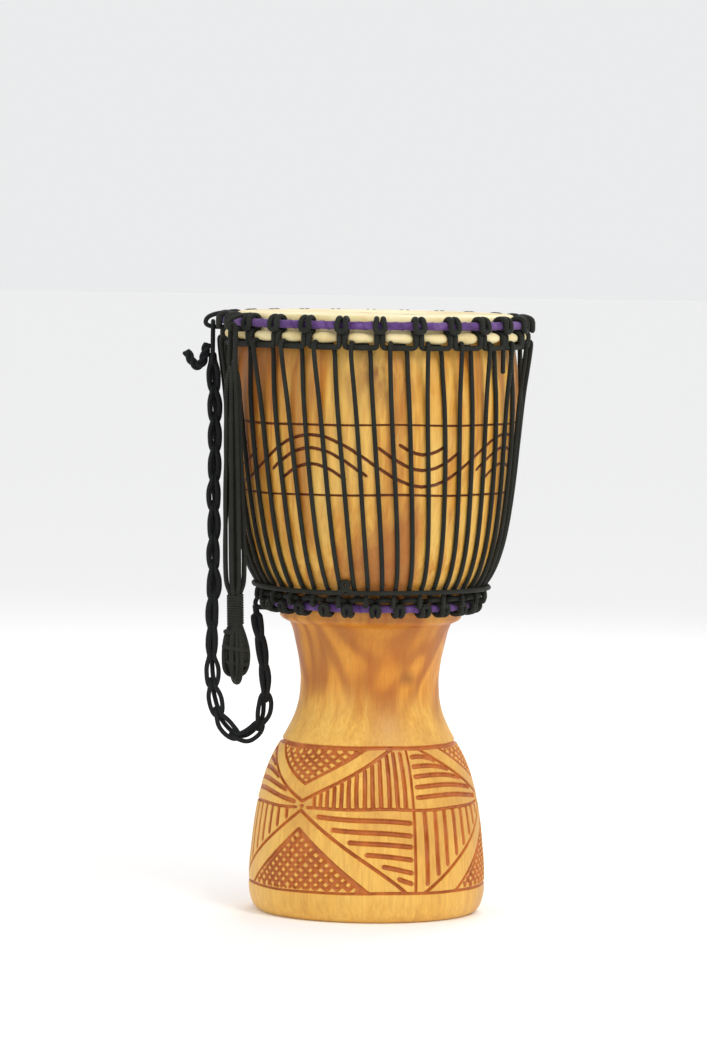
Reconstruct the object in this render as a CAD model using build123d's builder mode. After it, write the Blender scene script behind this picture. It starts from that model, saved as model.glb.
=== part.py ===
"""Rope-tuned djembe: a carved goblet shell, a goatskin head, rings, ropes, strap and a hank.

Millimetres. +Z is up and the origin is the centre of the foot's resting rim. The front is -Y.
A place round the drum is given by its angle from the front, positive towards +X.
"""

from build123d import *
import os
from math import cos, hypot, pi, radians, sin, tan

os.makedirs("parts", exist_ok=True)

# ---- Driving dimensions -------------------------------------------------------------------
HEIGHT = 600.0                # foot rim to playing surface
SKIN = 1.4                    # goatskin thickness
EDGE_R = 138.4                # outside of the shell at the playing edge
HEAD_GAP = 0.05               # running gap between the skin and the wood
ROPE_D = 4.6                  # tension rope
ROPE_R = ROPE_D / 2
STRAND_GAP = 0.15             # between ropes that press on each other

LOOPS = 26                    # loops on each ring, so twice as many vertical ropes
PITCH = 360.0 / LOOPS
FIRST_LOOP = 1.5              # angle of the first hitch
DRIFT = PITCH / 2             # every vertical leans by half a pitch from top to bottom
STRAP_ANGLE = FIRST_LOOP - 6.5 * PITCH      # middle of the loop on the drum's left

CROWN_R, CROWN_Z = 150.0, 590.6     # crown ring centre line
BASE_R, BASE_Z = 102.0, 311.0       # base ring centre line
RING_TUBE_R = 4.6                   # ring with its cloth
RING_CORE_R = 3.4                   # bare steel rod
FLESH_R, FLESH_Z = 147.3, 578.0     # rod that the skin is wrapped round
FLESH_ROLL_R = 3.0                  # rod with its skin
FLESH_CORE_R = 1.8                  # bare steel rod

TAIL_WRAP_R, TAIL_WRAP_Z = 117.8, 327.5

STRAP_D = 16.0                # chain-braided carrying strap
HANK_ANGLE = -57.5            # between two hitches, so that its tie has the ring to itself
HANK_R = 166.0                # the hank hangs straight down at this radius
BODY_GAP = 0.3                # between pieces that move against each other


def turned(angle, radius, z):
    """The point at an angle from the front, a radius and a height."""
    return Vector(radius * sin(radians(angle)), -radius * cos(radians(angle)), z)


def rod_path_radii(points, share=0.45, largest=1e9):
    """One bend radius for each inner point, as large as its two runs allow."""
    radii = []
    for before, here, after in zip(points, points[1:], points[2:]):
        first, second = here - before, after - here
        half_turn = radians(first.get_angle(second)) / 2
        shorter = min(first.length, second.length)
        radii.append(min(largest, share * shorter / tan(half_turn)))
    return radii


def path_length(points, radii):
    """Length of the runs with each corner replaced by its arc."""
    total = sum((b - a).length for a, b in zip(points, points[1:]))
    for before, here, after, radius in zip(points, points[1:], points[2:], radii):
        turn = radians((here - before).get_angle(after - here))
        total += radius * (turn - 2 * tan(turn / 2))
    return total


# ---- Shell --------------------------------------------------------------------------------
FOOT_OUTSIDE = [(107.0, 0.0), (111.5, 3.0), (115.6, 10.0), (118.3, 24.0), (118.3, 40.0),
                (116.6, 64.0), (112.6, 98.0), (104.4, 135.0), (96.2, 156.0), (85.0, 176.0)]
STEM_OUTSIDE = [(85.0, 176.0), (78.2, 189.0), (73.4, 201.0), (70.2, 216.0), (69.3, 232.0),
                (71.0, 250.0), (74.6, 268.0), (78.4, 284.0), (81.0, 290.0)]
LEDGE = [(88.5, 293.5), (91.0, 297.0), (91.0, 301.0), (92.2, 303.5)]
RING_SEAT_TOP = (92.4, 318.5)
BOWL_OUTSIDE = [RING_SEAT_TOP, (99.0, 323.0), (108.4, 328.6), (115.6, 337.5), (122.2, 351.0),
                (127.0, 364.0), (132.2, 389.0), (136.0, 414.0), (139.1, 440.0), (141.6, 466.0),
                (143.6, 493.0), (144.5, 519.0), (143.6, 542.0), (140.9, 562.0), (EDGE_R, 577.0)]
SHELL_TOP = HEIGHT - SKIN - HEAD_GAP
EDGE_ROUND = 4.5              # outer rounding of the playing edge
EDGE_FLAT_IN = EDGE_R - 6.0   # where the playing edge's flat ends and its inner bevel starts
BOWL_INSIDE = [(129.0, 590.0), (129.6, 540.0), (130.2, 493.0), (127.4, 440.0), (120.6, 400.0),
               (108.0, 361.0), (88.0, 331.0), (64.0, 307.0), (54.0, 288.0)]
FOOT_INSIDE = [(54.0, 288.0), (51.0, 262.0), (50.5, 236.0), (53.0, 212.0), (61.0, 184.0),
               (74.0, 158.0), (86.0, 131.0), (93.0, 98.0), (96.4, 60.0), (97.4, 12.0), (96.0, 0.0)]
GROOVE_WIDTH, GROOVE_DEPTH = 2.6, 1.6
GROOVE_HEIGHTS = [171.0, 30.0, 424.0, 493.0]    # two on the foot, two on the bowl


def outside_radius(z):
    """Radius of the shell's outer profile at a height, by straight runs between its points."""
    points = FOOT_OUTSIDE + STEM_OUTSIDE[1:] + LEDGE + BOWL_OUTSIDE + [(EDGE_R, SHELL_TOP)]
    for (r0, z0), (r1, z1) in zip(points, points[1:]):
        if z0 <= z <= z1 and z1 > z0:
            return r0 + (r1 - r0) * (z - z0) / (z1 - z0)
    return points[-1][0]


with BuildPart() as shell:
    with BuildSketch(Plane.XZ):
        with BuildLine():
            Spline(*FOOT_OUTSIDE)
            Spline(*STEM_OUTSIDE)
            Polyline(STEM_OUTSIDE[-1], *LEDGE, RING_SEAT_TOP)
            Spline(*BOWL_OUTSIDE)
            Polyline(BOWL_OUTSIDE[-1], (EDGE_R, SHELL_TOP - EDGE_ROUND))
            RadiusArc((EDGE_R, SHELL_TOP - EDGE_ROUND), (EDGE_R - EDGE_ROUND, SHELL_TOP), -EDGE_ROUND)
            Polyline((EDGE_R - EDGE_ROUND, SHELL_TOP), (EDGE_FLAT_IN, SHELL_TOP), BOWL_INSIDE[0])
            Spline(*BOWL_INSIDE)
            Spline(*FOOT_INSIDE)
            Line(FOOT_INSIDE[-1], FOOT_OUTSIDE[0])
        make_face()
    revolve(axis=Axis.Z)
    with BuildSketch(Plane.XZ):
        for height in GROOVE_HEIGHTS:
            with Locations((outside_radius(height), height)):
                Rectangle(2 * GROOVE_DEPTH, GROOVE_WIDTH)
    revolve(axis=Axis.Z, mode=Mode.SUBTRACT)
shell.part.label = "shell"
export_step(shell.part, "parts/shell.step")

# ---- Head and the rod it is wrapped round ---------------------------------------------------
SKIRT_IN = EDGE_R + HEAD_GAP
SKIRT_OUT = SKIRT_IN + SKIN
WEB_Z = 578.6                 # skin between the skirt and the roll

with BuildPart() as drumhead:
    with BuildSketch(Plane.XZ):
        with BuildLine():
            Polyline((0, HEIGHT - SKIN), (EDGE_R - EDGE_ROUND, HEIGHT - SKIN))
            RadiusArc((EDGE_R - EDGE_ROUND, HEIGHT - SKIN),
                      (SKIRT_IN, HEIGHT - SKIN - EDGE_ROUND - HEAD_GAP), EDGE_ROUND + HEAD_GAP)
            Polyline((SKIRT_IN, HEIGHT - SKIN - EDGE_ROUND - HEAD_GAP), (SKIRT_IN, WEB_Z - SKIN),
                     (FLESH_R, WEB_Z - SKIN), (FLESH_R, WEB_Z), (SKIRT_OUT, WEB_Z),
                     (SKIRT_OUT, HEIGHT - EDGE_ROUND - SKIN))
            RadiusArc((SKIRT_OUT, HEIGHT - EDGE_ROUND - SKIN),
                      (SKIRT_OUT - EDGE_ROUND - SKIN, HEIGHT), -(EDGE_ROUND + SKIN))
            Polyline((SKIRT_OUT - EDGE_ROUND - SKIN, HEIGHT), (0, HEIGHT), (0, HEIGHT - SKIN))
        make_face()
        with Locations((FLESH_R, FLESH_Z)):
            Circle(FLESH_ROLL_R)
            Circle(FLESH_CORE_R, mode=Mode.SUBTRACT)
    revolve(axis=Axis.Z)
drumhead.part.label = "drumhead"
export_step(drumhead.part, "parts/drumhead.step")


def ring(radius, height, outer, inner=0.0):
    """A round rod, or the sleeve of cloth on it, bent into a level hoop."""
    with BuildPart() as made:
        with BuildSketch(Plane.XZ):
            with Locations((radius, height)):
                Circle(outer)
                if inner:
                    Circle(inner, mode=Mode.SUBTRACT)
        revolve(axis=Axis.Z)
    return made.part


for name, radius, height, outer, inner in [
    ("flesh_ring", FLESH_R, FLESH_Z, FLESH_CORE_R, 0.0),
    ("crown_ring", CROWN_R, CROWN_Z, RING_CORE_R, 0.0),
    ("crown_ring_cloth", CROWN_R, CROWN_Z, RING_TUBE_R, RING_CORE_R),
    ("base_ring", BASE_R, BASE_Z, RING_CORE_R, 0.0),
    ("base_ring_cloth", BASE_R, BASE_Z, RING_TUBE_R, RING_CORE_R),
    ("tail_wrap", TAIL_WRAP_R, TAIL_WRAP_Z, ROPE_R, 0.0),
]:
    hoop = ring(radius, height, outer, inner)
    hoop.label = name
    export_step(hoop, f"parts/{name}.step")

# ---- Ropes tied to the rings ----------------------------------------------------------------
HALF_STRAND = 2.6             # half the distance between a hitch's two strands
ROUND_RING = RING_TUBE_R + ROPE_R + STRAND_GAP    # from a ring's centre line to a rope's round it
CROWN_NECK, CROWN_BIGHT = 3.0, (7.3, 5.6)   # outward; outward and towards the loops
BASE_NECK, BASE_BIGHT = 3.0, (7.3, 2.5)
CROWN_RUN_R, CROWN_RUN_Z = 151.0, 568.3     # lowest part of each upper loop
BASE_RUN_R, BASE_RUN_Z = 109.9, 320.3       # highest part of each lower loop


def beside(angle, radius, z, aside):
    """A point at a ring's angle, moved sideways by a distance."""
    return turned(angle, radius, z) + Vector(cos(radians(angle)), sin(radians(angle)), 0) * aside


def hitch(angle, ring_r, ring_z, towards, neck, bight):
    """Cow hitch: up behind the ring, over it, down the front, across and back the same way.

    towards is +1 where the loops hang below the ring and -1 where they stand above it.
    """
    out, drop = bight
    half = [(ring_r + neck, ring_z - towards * ROUND_RING),
            (ring_r - ROUND_RING, ring_z - towards * ROUND_RING),
            (ring_r - ROUND_RING, ring_z + towards * ROUND_RING),
            (ring_r + out, ring_z + towards * ROUND_RING),
            (ring_r + out, ring_z - towards * drop)]
    first = [beside(angle, r, z, -HALF_STRAND) for r, z in half]
    second = [beside(angle, r, z, HALF_STRAND) for r, z in reversed(half)]
    return first + second


def level_beside(angle, away, radius, z):
    """A point on the level line that touches a circle at an angle, some degrees away."""
    return turned(angle + away, radius / cos(radians(away)), z)


def crown_loop_points(angle):
    """From the middle of one upper loop, through the hitch at an angle, to the middle of the next."""
    flat, rise = 3.8, 6.1
    left, right = angle - PITCH / 2, angle + PITCH / 2
    start = [turned(left, CROWN_RUN_R, CROWN_RUN_Z),
             level_beside(left, flat, CROWN_RUN_R, CROWN_RUN_Z),
             beside(angle, CROWN_R + CROWN_NECK, CROWN_RUN_Z + rise, -HALF_STRAND - 0.3)]
    end = [beside(angle, CROWN_R + CROWN_NECK, CROWN_RUN_Z + rise, HALF_STRAND + 0.3),
           level_beside(right, -flat, CROWN_RUN_R, CROWN_RUN_Z),
           turned(right, CROWN_RUN_R, CROWN_RUN_Z)]
    return start + hitch(angle, CROWN_R, CROWN_Z, 1, CROWN_NECK, CROWN_BIGHT) + end


def base_loop_points(angle):
    """The same for the lower loops, which stand above their ring."""
    flat = 3.6
    left, right = angle - PITCH / 2, angle + PITCH / 2
    start = [turned(left, BASE_RUN_R, BASE_RUN_Z),
             level_beside(left, flat, BASE_RUN_R, BASE_RUN_Z)]
    end = [level_beside(right, -flat, BASE_RUN_R, BASE_RUN_Z),
           turned(right, BASE_RUN_R, BASE_RUN_Z)]
    return start + hitch(angle, BASE_R, BASE_Z, -1, BASE_NECK, BASE_BIGHT) + end


LEG = PITCH / 4               # a pair's two legs stand this far from the middle of their loop
FOOT_LEG = 2.4                # and this far in the bend under a lower loop
BEHIND_R, OVER_Z = 145.6, 571.6     # upper bend: where it lies behind the loop
FRONT_R, HOOK_Z = 156.1, 575.3      # and where it comes over the loop to the front
LIFT = 1.1                    # air between the legs and the wood
LEG_HEIGHTS = [520.0, 480.0, 440.0, 405.0, 375.0, 352.0, 337.0]
LEG_TOP_Z, LEG_FOOT_Z = 560.0, 337.0


def over_wood(z):
    """Radius of a rope's centre line where it lies along the shell."""
    step = 4.0
    slope = (outside_radius(z + step) - outside_radius(z - step)) / (2 * step)
    return outside_radius(z) + (ROPE_R + LIFT) * hypot(1.0, slope)


def leg_angle(top_angle, z):
    """A leg's angle at a height, leaning evenly from top to bottom."""
    return top_angle + DRIFT * (LEG_TOP_Z - z) / (LEG_TOP_Z - LEG_FOOT_Z)


def tension_points(middle):
    """One period of the vertical rope: from an upper bend, down, round a lower bend and up."""
    down, here = middle + LEG, middle + PITCH
    up = here - LEG
    path = [turned(middle, BEHIND_R, OVER_Z), level_beside(middle, LEG, BEHIND_R, OVER_Z)]
    path += [turned(leg_angle(down, z), over_wood(z), z) for z in [544.0] + LEG_HEIGHTS]
    path += [turned(here - LEG + 0.3, 110.8, 326.3), turned(here - FOOT_LEG, 101.3, 320.4),
             turned(here + FOOT_LEG, 101.3, 320.4), turned(here + FOOT_LEG, 114.8, 311.0),
             turned(here + FOOT_LEG, 114.8, 322.0), turned(here + LEG - 0.2, 111.4, 326.8)]
    path += [turned(leg_angle(up, z), over_wood(z), z) for z in reversed(LEG_HEIGHTS)]
    path += [turned(up, FRONT_R, 562.0), turned(up, FRONT_R, HOOK_Z),
             level_beside(here, -2.6, BEHIND_R, OVER_Z), turned(here, BEHIND_R, OVER_Z)]
    return path


def rope(points, share, diameter=ROPE_D):
    """A round rope along straight runs joined by arcs."""
    radii = rod_path_radii(points, share)
    with BuildPart() as made:
        with BuildLine() as route:
            FilletPolyline(*points, radius=radii)
        with BuildSketch(Plane(origin=route.line @ 0, z_dir=route.line % 0)):
            Circle(diameter / 2)
        sweep(path=route.line)
    section = pi * diameter ** 2 / 4
    wanted = section * path_length(points, radii)
    print("rope", len(points), "points, radii", [round(r, 1) for r in radii],
          "volume", round(made.part.volume), "of", round(wanted))
    return made.part


def round_the_drum(name, period):
    """One rope all the way round: a period at every loop, each meeting the next face to face."""
    whole = Compound(PolarLocations(0, LOOPS) * period)
    whole.label = name
    export_step(whole, f"parts/{name}.step")


round_the_drum("crown_loop_rope", rope(crown_loop_points(FIRST_LOOP), 0.48))
round_the_drum("base_loop_rope", rope(base_loop_points(FIRST_LOOP), 0.48))
round_the_drum("tension_rope", rope(tension_points(FIRST_LOOP + PITCH / 2), 0.48))


# ---- Ties that hold the strap and the hank ---------------------------------------------------
def tie(name, angle, corners):
    """A closed loop of rope in the upright plane at an angle; corners are (radius, height)."""
    points = [turned(angle, r, z) for r, z in corners]
    around = [points[-1]] + points + [points[0]]
    radii = rod_path_radii(around, 0.45, largest=4.5)
    with BuildPart() as made:
        with BuildLine() as route:
            FilletPolyline(*points, radius=radii, close=True)
        with BuildSketch(Plane(origin=route.line @ 0, z_dir=route.line % 0)):
            Circle(ROPE_R)
        sweep(path=route.line)
    made.part.label = name
    export_step(made.part, f"parts/{name}.step")


RING_IN, RING_OUT = CROWN_R - ROUND_RING, CROWN_R + ROUND_RING
RING_UNDER, RING_OVER = CROWN_Z - ROUND_RING, CROWN_Z + ROUND_RING
STRAP_TOP = (162.0, 556.0)    # radius and height where the braid starts
STRAP_END = (114.4, 297.0)    # and where it ends below the base ring
for name, angle, radius in [("hank_tie", HANK_ANGLE, HANK_R),
                            ("strap_tie_top", STRAP_ANGLE, STRAP_TOP[0])]:
    tie_end = radius + ROPE_D + BODY_GAP + 2.5
    tie(name, angle, [(RING_IN, RING_UNDER), (RING_IN, RING_OVER), (RING_OUT, RING_OVER),
                      (tie_end, RING_UNDER + 2 * ROPE_D), (tie_end, RING_UNDER)])
BASE_IN, BASE_OUT = BASE_R - ROUND_RING, BASE_R + ROUND_RING
BASE_UNDER, BASE_OVER = BASE_Z - ROUND_RING, BASE_Z + ROUND_RING
tie("strap_tie_base", STRAP_ANGLE, [(BASE_IN, BASE_UNDER), (BASE_IN, BASE_OVER),
                                    (BASE_OUT, BASE_OVER), (BASE_OUT + 7.5, BASE_UNDER + 5.5),
                                    (BASE_OUT + 5.5, BASE_UNDER - 1.5)])

# ---- Small knots on the drum ------------------------------------------------------------------
KNOT_ANGLE, KNOT_Z, KNOT_TURN_R = -12.4, 334.8, 2.6
with BuildPart() as tail_knot:
    at = turned(KNOT_ANGLE, TAIL_WRAP_R + 2.4, KNOT_Z)
    outwards = turned(KNOT_ANGLE, 1.0, 0.0)
    with BuildSketch(Plane(origin=at, x_dir=outwards, z_dir=outwards.cross(Vector(0, 0, 1)))):
        with Locations((0, KNOT_TURN_R)):
            Circle(ROPE_R)
    revolve(axis=Axis(at, outwards))
tail_knot.part.label = "tail_knot"
export_step(tail_knot.part, "parts/tail_knot.step")

TAIL_ANGLE, TAIL_R = 56.9, 150.6
TAIL_LOW, TAIL_HIGH = 548.0, 569.0
TAIL_KNOT_R = 3.4
with BuildPart() as crown_rope_tail:
    with BuildSketch(Plane(origin=turned(TAIL_ANGLE, TAIL_R, TAIL_LOW))):
        Circle(ROPE_R)
    extrude(amount=TAIL_HIGH - TAIL_LOW)
    with Locations(turned(TAIL_ANGLE, TAIL_R, TAIL_HIGH)):
        Sphere(TAIL_KNOT_R)
crown_rope_tail.part.label = "crown_rope_tail"
export_step(crown_rope_tail.part, "parts/crown_rope_tail.step")

# ---- Carrying strap: braided rope that hangs in a long U ---------------------------------------
STRAP_ROUTE = [STRAP_TOP, (160.4, 530.0), (158.8, 498.0), (158.3, 455.0), (158.9, 408.0),
               (158.2, 360.0), (158.0, 310.0), (158.8, 264.0), (158.8, 230.0), (154.2, 200.0),
               (142.4, 178.0), (125.0, 169.5), (110.4, 180.5), (104.0, 205.0), (104.6, 234.0),
               (109.6, 266.0), STRAP_END]
carry_strap = rope([turned(STRAP_ANGLE, r, z) for r, z in STRAP_ROUTE], 0.45, STRAP_D)
carry_strap.label = "carry_strap"
export_step(carry_strap, "parts/carry_strap.step")

LINK_Z = RING_UNDER + ROPE_D + 3 * BODY_GAP
LINK_HALF = 7.0
link_points = [beside(STRAP_ANGLE, STRAP_TOP[0], z, aside) for z, aside in [
    (STRAP_TOP[1], -5.0), (STRAP_TOP[1] + 10.0, -5.6), (LINK_Z, -LINK_HALF),
    (LINK_Z, LINK_HALF), (STRAP_TOP[1] + 10.0, 5.6), (STRAP_TOP[1], 5.0)]]
strap_link = rope(link_points, 0.45)
strap_link.label = "strap_link"
export_step(strap_link, "parts/strap_link.step")

TAIL_D = 9.0
STRAP_TAIL_ROUTE = [(168.6, 562.0), (170.4, 553.6), (172.6, 546.4), (177.4, 543.6), (182.0, 547.6),
                    (186.0, 555.0)]
strap_tail = rope([turned(STRAP_ANGLE, r, z) for r, z in STRAP_TAIL_ROUTE], 0.45, TAIL_D)
strap_tail.label = "strap_tail"
export_step(strap_tail, "parts/strap_tail.step")

# ---- Hank of spare rope -----------------------------------------------------------------------
HANGER_Z = RING_UNDER + ROPE_D + BODY_GAP       # rests in the tie's lower turn
HANGER_HALF = ROPE_D + BODY_GAP + 0.4
HANK_TOP = 552.0
hanger_points = [beside(HANK_ANGLE, HANK_R, z, aside) for z, aside in [
    (HANK_TOP, -HANGER_HALF), (HANGER_Z, -HANGER_HALF), (HANGER_Z, HANGER_HALF),
    (HANK_TOP, HANGER_HALF)]]
hank_hanger = rope(hanger_points, 0.48)
hank_hanger.label = "hank_hanger"
export_step(hank_hanger, "parts/hank_hanger.step")

HANK_NECK_R, BINDING_R = 6.2, 8.8
NECK_LOW, NECK_HIGH = 290.0, 324.0
HANK_PROFILE_UP = [(HANK_NECK_R, NECK_HIGH), (9.6, 336.0), (11.6, 372.0), (12.2, 440.0),
                   (12.0, 505.0), (10.6, 540.0), (8.6, HANK_TOP)]
HANK_PROFILE_DOWN = [(HANK_NECK_R, NECK_LOW), (12.2, 281.0), (15.0, 264.0), (14.9, 246.0),
                     (10.4, 233.5), (0.0, 229.5)]
HANK_LEAN = 8.0               # the hank's foot hangs this far to +X of its top
HANK_UP = Vector(-HANK_LEAN, 0, HANK_TOP - HANK_PROFILE_DOWN[-1][1]).normalized()
HANK_FOOT = turned(HANK_ANGLE, HANK_R, HANK_TOP) - HANK_UP * (HANK_TOP / HANK_UP.Z)
HANK_PLANE = Plane(origin=HANK_FOOT, x_dir=(HANK_UP.Z, 0, -HANK_UP.X), z_dir=(0, -1, 0))
HANK_AXIS = Axis(HANK_FOOT, HANK_UP)
with BuildPart() as rope_hank:
    with BuildSketch(HANK_PLANE):
        with BuildLine():
            Polyline((0, HANK_TOP), (HANK_PROFILE_UP[-1][0], HANK_TOP))
            Spline(*HANK_PROFILE_UP)
            Line((HANK_NECK_R, NECK_HIGH), (HANK_NECK_R, NECK_LOW))
            Spline(*HANK_PROFILE_DOWN)
            Line(HANK_PROFILE_DOWN[-1], (0, HANK_TOP))
        make_face()
    revolve(axis=HANK_AXIS)
rope_hank.part.label = "rope_hank"
export_step(rope_hank.part, "parts/rope_hank.step")

with BuildPart() as hank_binding:
    with BuildSketch(HANK_PLANE):
        with Locations(((HANK_NECK_R + BINDING_R) / 2, (NECK_LOW + NECK_HIGH) / 2)):
            Rectangle(BINDING_R - HANK_NECK_R, NECK_HIGH - NECK_LOW - 3.0)
    revolve(axis=HANK_AXIS)
hank_binding.part.label = "hank_binding"
export_step(hank_binding.part, "parts/hank_binding.step")
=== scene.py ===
import math
import random

import bmesh
import bpy
import numpy as np
from mathutils import Matrix, Vector
from mathutils.geometry import delaunay_2d_cdt


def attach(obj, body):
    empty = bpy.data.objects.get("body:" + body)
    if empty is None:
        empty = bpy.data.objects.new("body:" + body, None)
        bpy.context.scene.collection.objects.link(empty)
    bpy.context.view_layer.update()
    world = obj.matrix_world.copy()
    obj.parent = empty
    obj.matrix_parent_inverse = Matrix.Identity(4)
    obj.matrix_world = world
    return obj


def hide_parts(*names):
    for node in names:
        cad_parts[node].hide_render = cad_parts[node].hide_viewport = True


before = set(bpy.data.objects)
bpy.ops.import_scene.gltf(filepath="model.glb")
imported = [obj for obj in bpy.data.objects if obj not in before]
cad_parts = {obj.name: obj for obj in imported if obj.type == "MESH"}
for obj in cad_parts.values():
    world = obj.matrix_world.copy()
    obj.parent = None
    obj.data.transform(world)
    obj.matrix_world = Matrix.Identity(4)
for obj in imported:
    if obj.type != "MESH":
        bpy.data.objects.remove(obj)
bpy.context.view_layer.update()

# All shapes are worked out in millimetres and scaled once, when a mesh is made.
MM = 0.001
DRUM, STRAP, HANK = "drum", "strap", "hank"

HEIGHT = 600.0
EDGE_R = 138.4
LOOPS = 26
PITCH = 360.0 / LOOPS
FIRST_LOOP = 1.5
STRAP_ANGLE, STRAP_TIE_R = FIRST_LOOP - 6.5 * PITCH, 162.0
HANK_ANGLE, HANK_R = -57.5, 166.0
CROWN_R, CROWN_Z = 150.0, 590.6
BASE_R, BASE_Z = 102.0, 311.0
CLOTH_R = 4.6
FLESH_R, FLESH_Z = 147.3, 578.0
ROPE_R = 2.3
KNOT_AT = (34.0, 71.0, 238.0)
STAIN_AT = (3.0, 142.0, 546.0)


def turned(angle, r, z):
    """The point at an angle from the front, a radius and a height."""
    a = math.radians(angle)
    return Vector((r * math.sin(a), -r * math.cos(a), z))


# ---- Camera ---------------------------------------------------------------------------------
CAMERA_AT = Vector((-0.0185, -5.5, 0.73))
CAMERA_AIM = Vector((-0.0185, 0.0, 0.38))
CAMERA_ROLL = math.radians(0.9)
camera_data = bpy.data.cameras.new("camera")
camera_data.lens = 186.1
camera_data.sensor_width = 36.0
camera_data.clip_end = 60.0
camera = bpy.data.objects.new("camera", camera_data)
bpy.context.scene.collection.objects.link(camera)
camera.location = CAMERA_AT
camera.rotation_mode = "QUATERNION"
camera.rotation_quaternion = ((CAMERA_AIM - CAMERA_AT).to_track_quat("-Z", "Y")
                              @ Matrix.Rotation(CAMERA_ROLL, 3, "Z").to_quaternion())
bpy.context.scene.camera = camera


# ---- Mesh helpers ---------------------------------------------------------------------------
def mesh_object(name, verts, faces, smooth=True, **values):
    """A mesh object from points in millimetres, with named values at its points."""
    me = bpy.data.meshes.new(name)
    me.from_pydata([tuple(v) for v in np.asarray(verts, float) * MM], [], faces)
    me.update()
    me.polygons.foreach_set("use_smooth", [smooth] * len(me.polygons))
    for attribute, numbers in values.items():
        layer = me.attributes.new(attribute, "FLOAT", "POINT")
        layer.data.foreach_set("value", np.asarray(numbers, "f"))
    obj = bpy.data.objects.new(name, me)
    bpy.context.scene.collection.objects.link(obj)
    return obj


def weld(me, near, flat=None):
    """Joins points that coincide, drops faces without area and turns all faces outward."""
    bm = bmesh.new()
    bm.from_mesh(me)
    bmesh.ops.remove_doubles(bm, verts=bm.verts, dist=near * MM)
    if flat:
        bmesh.ops.dissolve_degenerate(bm, edges=bm.edges, dist=flat * MM)
    bmesh.ops.recalc_face_normals(bm, faces=bm.faces)
    bm.to_mesh(me)
    bm.free()


def piece(obj, body, material, node):
    """Puts a new piece on its body, with its finish and the CAD node that it stands for."""
    obj.data.materials.append(material)
    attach(obj, body)
    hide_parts(node)
    return obj


def grid_faces(rows, steps, closed=False, base=0, flip=False):
    """Quads between rings of points, where every ring is closed."""
    faces = []
    for i in range(rows if closed else rows - 1):
        a, b = base + i * steps, base + (i + 1) % rows * steps
        if flip:
            a, b = b, a
        faces += [(a + j, a + (j + 1) % steps, b + (j + 1) % steps, b + j) for j in range(steps)]
    return faces


def distances(points):
    """Distance from a line's first point to each of its points."""
    return np.concatenate([[0], np.cumsum(np.linalg.norm(np.diff(points, axis=0), axis=1))])


def unit(rows):
    """The same vectors at length one."""
    return rows / np.linalg.norm(rows, axis=1)[:, None]


def bspline(points, spacing=2.0, closed=False):
    """Quadratic B-spline on control points, sampled at about a spacing."""
    pts = [Vector(p) for p in points]
    if closed:
        ctrl = pts + pts[:2]
    else:
        ctrl = [pts[0] * 2 - pts[1]] + pts + [pts[-1] * 2 - pts[-2]]
    out = []
    for a, b, c in zip(ctrl, ctrl[1:], ctrl[2:]):
        m0, m1 = (a + b) / 2, (b + c) / 2
        n = max(2, int(math.ceil(((b - m0).length + (m1 - b).length) / spacing)))
        for i in range(n):
            t = i / n
            out.append(m0 * (1 - t) ** 2 + b * 2 * t * (1 - t) + m1 * t * t)
    if not closed:
        out.append((ctrl[-2] + ctrl[-1]) / 2)
    return out


def rings_along(path, closed=False):
    """Points, tangents and two side directions along a path, turning as little as they can."""
    p = np.array([tuple(v) for v in path], float)
    t = unit(np.roll(p, -1, 0) - np.roll(p, 1, 0) if closed else np.gradient(p, axis=0))
    first = np.array((0.0, 0.0, 1.0))
    if abs(first @ t[0]) > 0.9:
        first = np.array((1.0, 0.0, 0.0))
    n = np.zeros_like(p)
    v = first - t[0] * (first @ t[0])
    n[0] = v / np.linalg.norm(v)
    for i in range(1, len(p)):
        v = n[i - 1] - t[i] * (n[i - 1] @ t[i])
        n[i] = v / np.linalg.norm(v)
    if closed:
        v = n[-1] - t[0] * (n[-1] @ t[0])
        v /= np.linalg.norm(v)
        slip = math.atan2(np.cross(v, n[0]) @ t[0], v @ n[0])
        turn = np.linspace(0, slip, len(p), endpoint=False)[:, None]
        n = n * np.cos(turn) + np.cross(t, n) * np.sin(turn)
    return p, t, n, np.cross(t, n)


END_BULGE = 0.55               # how far a rope's end stands out, as a share of its radius


class Tubes:
    """Collects round ropes into one mesh, with the rope's length and turn in a UV layer."""

    def __init__(self):
        self.verts, self.faces, self.uvs, self.count = [], [], [], 0

    def add(self, path, radius, sides=10, closed=False):
        p, t, n, b = rings_along(path, closed)
        rings = len(p)
        radius = np.broadcast_to(np.asarray(radius, float), rings)
        a = np.arange(sides) * 2 * math.pi / sides
        ring = (n[:, None, :] * np.cos(a)[None, :, None] + b[:, None, :] * np.sin(a)[None, :, None])
        self.verts.append((p[:, None, :] + ring * radius[:, None, None]).reshape(-1, 3))
        along = distances(p)
        base = self.count
        self.faces += grid_faces(rings, sides, closed, base)
        for i in range(rings if closed else rings - 1):
            u0, u1 = along[i], along[i + 1] if i + 1 < rings else along[i] + 2.0
            for j in range(sides):
                v0, v1 = j / sides, (j + 1) / sides
                self.uvs += [u0, v0, u0, v1, u1, v1, u1, v0]
        self.count += rings * sides
        for i, way in () if closed else ((0, -1), (rings - 1, 1)):
            self.verts.append((p[i] + t[i] * way * radius[i] * END_BULGE)[None, :])
            row = base + i * sides
            for j in range(sides):
                pair = (row + j, row + (j + 1) % sides)
                self.faces.append((*pair[::way], self.count))
                self.uvs += [along[i], 0.0] * 3
            self.count += 1

    def object(self, name):
        obj = mesh_object(name, np.concatenate(self.verts), self.faces)
        layer = obj.data.uv_layers.new(name="rope")
        layer.data.foreach_set("uv", np.array(self.uvs, "f"))
        return obj


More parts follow.
